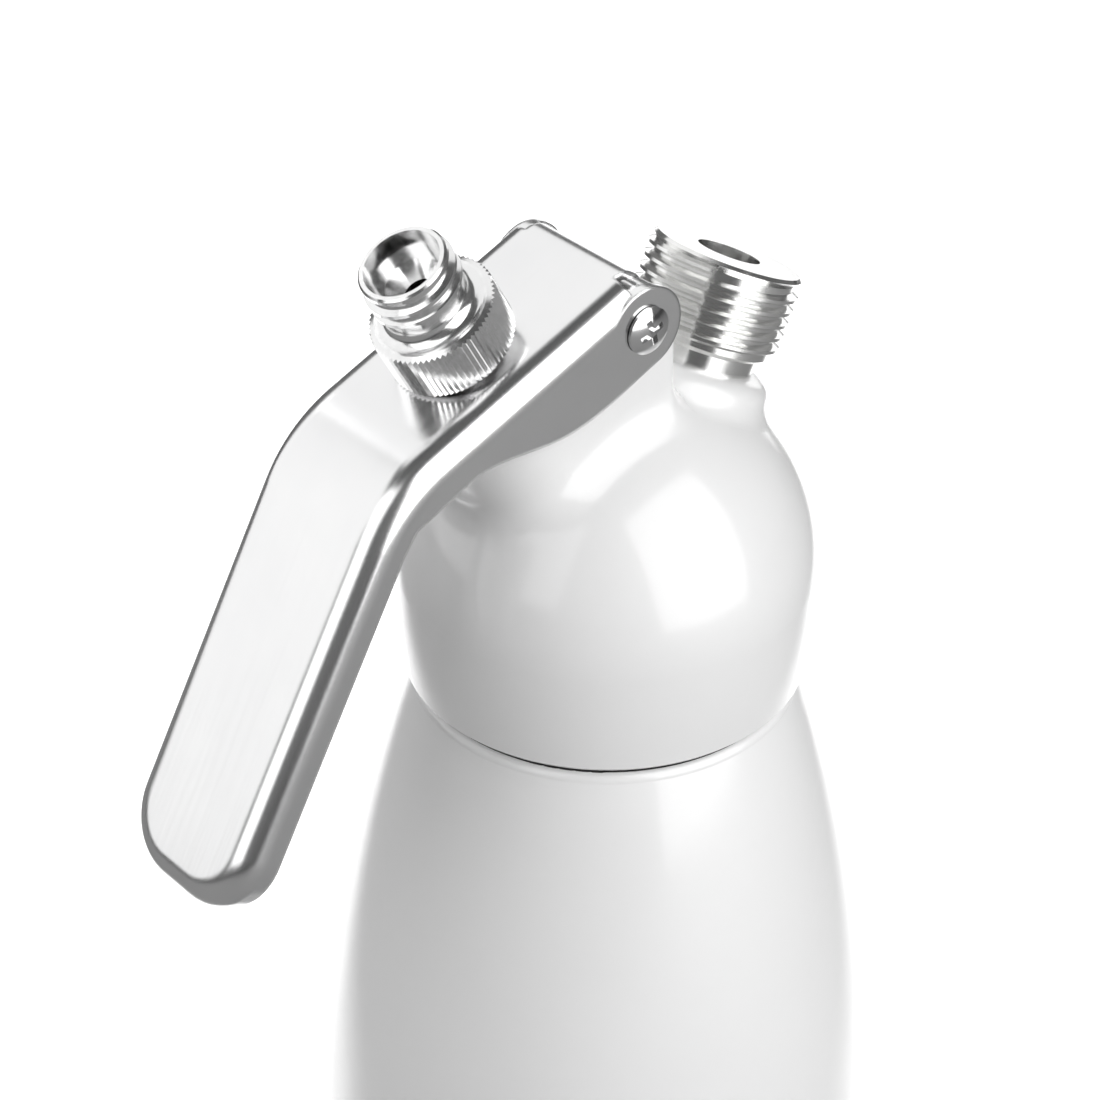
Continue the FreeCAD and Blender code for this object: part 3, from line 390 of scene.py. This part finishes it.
def drawn_wire():
    """Spring wire with drawing scratches."""
    mat, tree, shader = new_finish("drawn_wire", Metallic=1.0, IOR=2.5)
    streaks = noise(tree, object_place(tree, WIRE_STRETCH), SCRATCHES_PER_METRE, 4.0)
    tree.links.new(ramp(tree, streaks, WIRE_DARK, WIRE_LIGHT), shader.inputs["Base Color"])
    tree.links.new(ramp(tree, streaks, 0.22, 0.38), shader.inputs["Roughness"])
    bump(tree, shader, streaks, SCRATCH_DEPTH)
    return mat


def moulded_rubber():
    """Black rubber with a dusty bloom."""
    mat, tree, shader = new_finish("moulded_rubber", Specular_IOR_Level=0.35)
    bloom = noise(tree, object_place(tree), BLOOM_PER_METRE, 5.0)
    dusty = ramp(tree, bloom, RUBBER_DARK, RUBBER_DUSTY, 0.4, 0.8)
    tree.links.new(dusty, shader.inputs["Base Color"])
    tree.links.new(ramp(tree, bloom, 0.5, 0.7), shader.inputs["Roughness"])
    bump(tree, shader, bloom, SOFT_DEPTH)
    return mat


dress(drawn_wire(), "return_spring", "check_spring")
dress(moulded_rubber(), "adapter_seal", "stem_o_ring", "valve_seal", "port_gasket", "pin_gasket")

# %% [markdown]
# ## Gasket and bush
# The big gasket under the head is red silicone, a little waxy, so light goes slightly into it. The
# bush is milky plastic with the lines of its mould. Both let light in below the skin, which a
# paint-like surface can't show, so their shaders scatter a small share of it inside.

# %% Silicone and plastic
SILICONE_CLOUDS_PER_METRE = 300.0
SILICONE_DEEP = (0.52, 0.045, 0.035)
SILICONE_PALE = (0.62, 0.065, 0.05)
PLASTIC_CLOUDS_PER_METRE = 500.0
PLASTIC_DEEP = (0.80, 0.80, 0.77)
PLASTIC_PALE = (0.86, 0.86, 0.84)
MOULD_LINE_SPACING = 0.0003
MOULD_LINE_DEPTH = 0.000005


def red_silicone():
    """Waxy red silicone."""
    mat, tree, shader = new_finish("red_silicone", Subsurface_Weight=0.15, Subsurface_Scale=0.001)
    cloud = noise(tree, object_place(tree), SILICONE_CLOUDS_PER_METRE, 4.0)
    tree.links.new(ramp(tree, cloud, SILICONE_DEEP, SILICONE_PALE), shader.inputs["Base Color"])
    tree.links.new(ramp(tree, cloud, 0.36, 0.48), shader.inputs["Roughness"])
    bump(tree, shader, cloud, SOFT_DEPTH)
    return mat


def milky_plastic():
    """Milky white plastic with mould lines."""
    mat, tree, shader = new_finish("milky_plastic", Subsurface_Weight=0.1, Subsurface_Scale=0.0008)
    cloud = noise(tree, object_place(tree), PLASTIC_CLOUDS_PER_METRE)
    tree.links.new(ramp(tree, cloud, PLASTIC_DEEP, PLASTIC_PALE), shader.inputs["Base Color"])
    tree.links.new(ramp(tree, cloud, 0.35, 0.5), shader.inputs["Roughness"])
    lines = rings_along(tree, NOZZLE_RIM, VALVE_TILT, MOULD_LINE_SPACING)
    bump(tree, shader, lines, MOULD_LINE_DEPTH)
    return mat


dress(red_silicone(), "head_gasket")
dress(milky_plastic(), "guide_bush")

# %% [markdown]
# ## The floor
# The dispenser stands on a plain floor: one sheet of grey paper with a faint mottle. Behind the
# dispenser a pool of light is painted on it, the lit part. There its base colour is painted lighter and it
# glows, though it is no lamp, which washes the ground out to white. Around that lit part the
# paper keeps its own darker grey, so that the metal has something dark to mirror.
# The lit part widens away from us. It is soft at its edges, so it is drawn from the floor's own
# coordinates: how far along the line of sight, and how far across it.

# %% Floor
FLOOR_HALF = 3.0
LIT_HALF_WIDTH = 0.15
LIT_SPREAD = 0.14
LIT_EDGE = 0.07
LIT_FADE_FROM = 0.80
LIT_FADE_TO = 1.0
MOTTLE_PER_METRE = 3.0
PAPER_DARK = (0.29, 0.29, 0.29)
PAPER_LIGHT = (0.31, 0.31, 0.31)
PAINTED_POOL_GREY = (0.56, 0.56, 0.56)


def painted_light_pool(tree):
    """Mask of the painted pool of light: one behind the dispenser along the line of sight, nought elsewhere.
    """
    sight = object_place(tree, turn=(0.0, 0.0, -VIEW_AZIMUTH))
    across, along, _ = split_place(tree, sight)
    widening = reckon(tree, "MULTIPLY", along, LIT_SPREAD)
    over = reckon(tree, "SUBTRACT", reckon(tree, "ABSOLUTE", across), widening)
    side = ramp(tree, over, 1.0, 0.0, LIT_HALF_WIDTH, LIT_HALF_WIDTH + LIT_EDGE)
    near = ramp(tree, along, 0.0, 1.0, 0.0, LIT_EDGE)
    far = ramp(tree, along, 1.0, 0.0, LIT_FADE_FROM, LIT_FADE_TO)
    return reckon(tree, "MULTIPLY", reckon(tree, "MULTIPLY", side, near), far)


def floor_paper():
    """Grey paper with a painted pool of light behind the dispenser: a lighter painted colour and a glow,
    though it is no lamp.
    """
    mat, tree, shader = new_finish("floor_paper", Roughness=0.9, Specular_IOR_Level=0.1,
                                   Emission_Strength=1.0)
    painted_pool = painted_light_pool(tree)
    # Painted light: the pool glows, though the paper is no lamp.
    tree.links.new(painted_pool, shader.inputs["Emission Color"])
    mottle = ramp(tree, noise(tree, object_place(tree), MOTTLE_PER_METRE), PAPER_DARK, PAPER_LIGHT)
    # Painted light: inside the pool the base colour is painted lighter.
    tree.links.new(blend(tree, painted_pool, mottle, PAINTED_POOL_GREY), shader.inputs["Base Color"])
    return mat


def pale_floor():
    """A square sheet in mesh code, centred under the dispenser."""
    mesh = bpy.data.meshes.new("floor")
    corners = [(x * FLOOR_HALF, y * FLOOR_HALF, 0.0) for x, y in ((-1, -1), (1, -1), (1, 1), (-1, 1))]
    mesh.from_pydata(corners, [], [(0, 1, 2, 3)])
    mesh.materials.append(floor_paper())
    floor = bpy.data.objects.new("floor", mesh)
    bpy.context.scene.collection.objects.link(floor)


pale_floor()
print("floor is", 2 * FLOOR_HALF, "m wide")

# %% [markdown]
# ## Soft light
# Shiny things show their lamps, so the lamps are shaped for their reflections. A tall box on the
# right draws the bright patch on the dome. One at the front left lights the near edge of the
# lever, and one on the far left whitens its handle. One high at the back fills the plate, and a
# low one at the back right stands on the floor for the port's top face. Between them the room
# stays dim, which gives the metal its dark lines. A box's brightness is its power over its area
# and pi, so we state the brightness and work out the power.

# %% Lamps
def soft_box(name, side, height, distance, width, tall, glow):
    """Lamp at an angle beside the camera and an angle above the floor, aimed at the dome."""
    turn = VIEW_AZIMUTH + math.radians(side)
    rise = math.radians(height)
    towards = Vector((math.sin(turn) * math.cos(rise), -math.cos(turn) * math.cos(rise), math.sin(rise)))
    lamp = bpy.data.lights.new(name, "AREA")
    lamp.shape = "RECTANGLE"
    lamp.size = width
    lamp.size_y = tall
    lamp.energy = glow * math.pi * width * tall
    lamp_object = bpy.data.objects.new(name, lamp)
    bpy.context.scene.collection.objects.link(lamp_object)
    lamp_object.location = DOME_CENTRE + towards * distance
    lamp_object.rotation_euler = towards.to_track_quat("Z", "Y").to_euler()
    lamp_object.visible_camera = False
    print(name, "power", round(lamp.energy, 2), "W")


soft_box("right_box", side=52.0, height=24.0, distance=0.95, width=1.0, tall=1.3, glow=2.0)
soft_box("front_left_box", side=-44.0, height=28.0, distance=1.05, width=0.75, tall=1.0, glow=1.1)
soft_box("left_box", side=-100.0, height=22.0, distance=1.05, width=1.1, tall=1.0, glow=0.72)
soft_box("back_box", side=-165.0, height=55.0, distance=1.1, width=1.3, tall=1.0, glow=0.70)
soft_box("low_back_box", side=168.0, height=-2.0, distance=1.25, width=1.0, tall=0.34, glow=1.1)

# %% [markdown]
# ## The room
# The room itself is a plain grey dome of light, a little brighter at the horizon, where the paper
# would curve up, and dimmer overhead. The picture is then lifted by a third of a stop, with the
# plain view, because a filmic curve would turn the white coat grey.

# %% Room
HORIZON_GREY = 0.12
OVERHEAD_GREY = 0.08
OVERHEAD_FROM = 0.8
EXPOSURE_STOPS = 0.35


def studio_room():
    """The world: two greys from the horizon up."""
    world = bpy.data.worlds.new("studio_room")
    world.use_nodes = True
    room = world.node_tree
    sky_place = room.nodes.new("ShaderNodeTexCoord")
    height = split_place(room, sky_place.outputs["Generated"])[2]
    sky = ramp(room, height, HORIZON_GREY, OVERHEAD_GREY, 0.0, OVERHEAD_FROM)
    room.links.new(sky, room.nodes["Background"].inputs["Color"])
    return world


bpy.context.scene.world = studio_room()
bpy.context.scene.view_settings.view_transform = "Standard"
bpy.context.scene.view_settings.exposure = EXPOSURE_STOPS
print("room is", HORIZON_GREY, "at the horizon,", OVERHEAD_GREY, "overhead")
